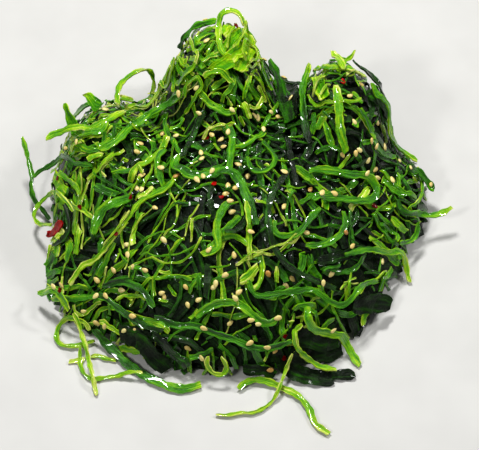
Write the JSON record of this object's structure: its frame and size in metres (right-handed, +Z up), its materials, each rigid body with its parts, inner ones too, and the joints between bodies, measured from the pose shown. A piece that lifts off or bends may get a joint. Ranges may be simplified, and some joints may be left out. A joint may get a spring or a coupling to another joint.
{
  "type": "heap of wakame salad",
  "caption": "Loose heap of dressed wakame: wet green seaweed stems and dark leaves lying over one another, with stray stems at the front, sesame seeds and chilli. Rests on its flat base.",
  "frame": {"origin": "on the flat base that the heap rests on, near the middle of its main mound", "axes": "+Z up out of the heap, +Y away from the viewer, towards the tall clump at the back, +X to the viewer's right"},
  "size_m": [0.184, 0.1885, 0.0741],
  "materials": {
    "light_stem": "wet, glossy, slightly translucent yellow-green",
    "green_stem": "wet, glossy, slightly translucent green",
    "dark_stem": "wet, glossy dark green",
    "leaf": "wet, thin, translucent dark green",
    "chilli": "wet red",
    "sesame": "smooth satin cream",
    "tangle": "wet, glossy dark green"
  },
  "bodies": {
    "root": {"tangle": "tangle", "back_stem_far_left": "green_stem", "back_stem_left": "light_stem", "back_stem_under_the_clump": "green_stem", "back_stem_middle": "light_stem", "back_stem_right_of_the_clump": "dark_stem", "back_stem_right": "green_stem", "back_stem_far_right": "light_stem", "dark_stem_in_the_middle": "dark_stem", "dark_leaf_front_right": "leaf", "dark_leaf_front_edge": "leaf", "tall_leaf_in_the_notch": "leaf", "dark_leaf_right_rim": "leaf", "arched_leaf_at_the_top": "leaf", "pale_leaf_at_the_top": "light_stem", "leaf_upper_left_point": "green_stem", "leaf_upper_left_peak": "green_stem", "leaf_right_end": "green_stem", "stem_along_the_front": "green_stem", "olive_stem_right_shoulder": "light_stem", "left_arch": "green_stem", "upper_left_long": "light_stem", "upper_left_diagonal": "green_stem", "left_whisker": "green_stem", "left_side_stem": "dark_stem", "left_hook": "light_stem", "wide_stem_left": "green_stem", "long_diagonal_left": "light_stem", "dark_curve_left": "dark_stem", "leaf_lower_left": "light_stem", "front_left_long": "green_stem", "right_bend": "green_stem", "right_hook": "green_stem", "cup_by_the_middle": "green_stem", "middle_post": "green_stem", "middle_ring": "green_stem", "middle_arc": "green_stem", "middle_drop": "light_stem", "middle_hook": "light_stem", "front_wave": "light_stem", "right_low_wave": "green_stem", "right_low_band": "green_stem", "right_drop": "light_stem", "right_arm": "green_stem", "right_pillar": "green_stem", "right_post": "green_stem", "top_right_stub": "light_stem", "top_right_leaf": "green_stem", "top_loop": "light_stem", "left_standing_loop": "light_stem", "front_right_bend": "light_stem", "front_right_fan": "light_stem", "front_ring": "light_stem", "dark_stem_front_left": "dark_stem", "loose_hook_front_left": "light_stem", "loose_loop_front_left": "light_stem", "loose_post_front_left": "light_stem", "thin_tail_front": "light_stem", "long_tail_front": "light_stem", "chilli_chip_left": "chilli"}
  },
  "joints": []
}
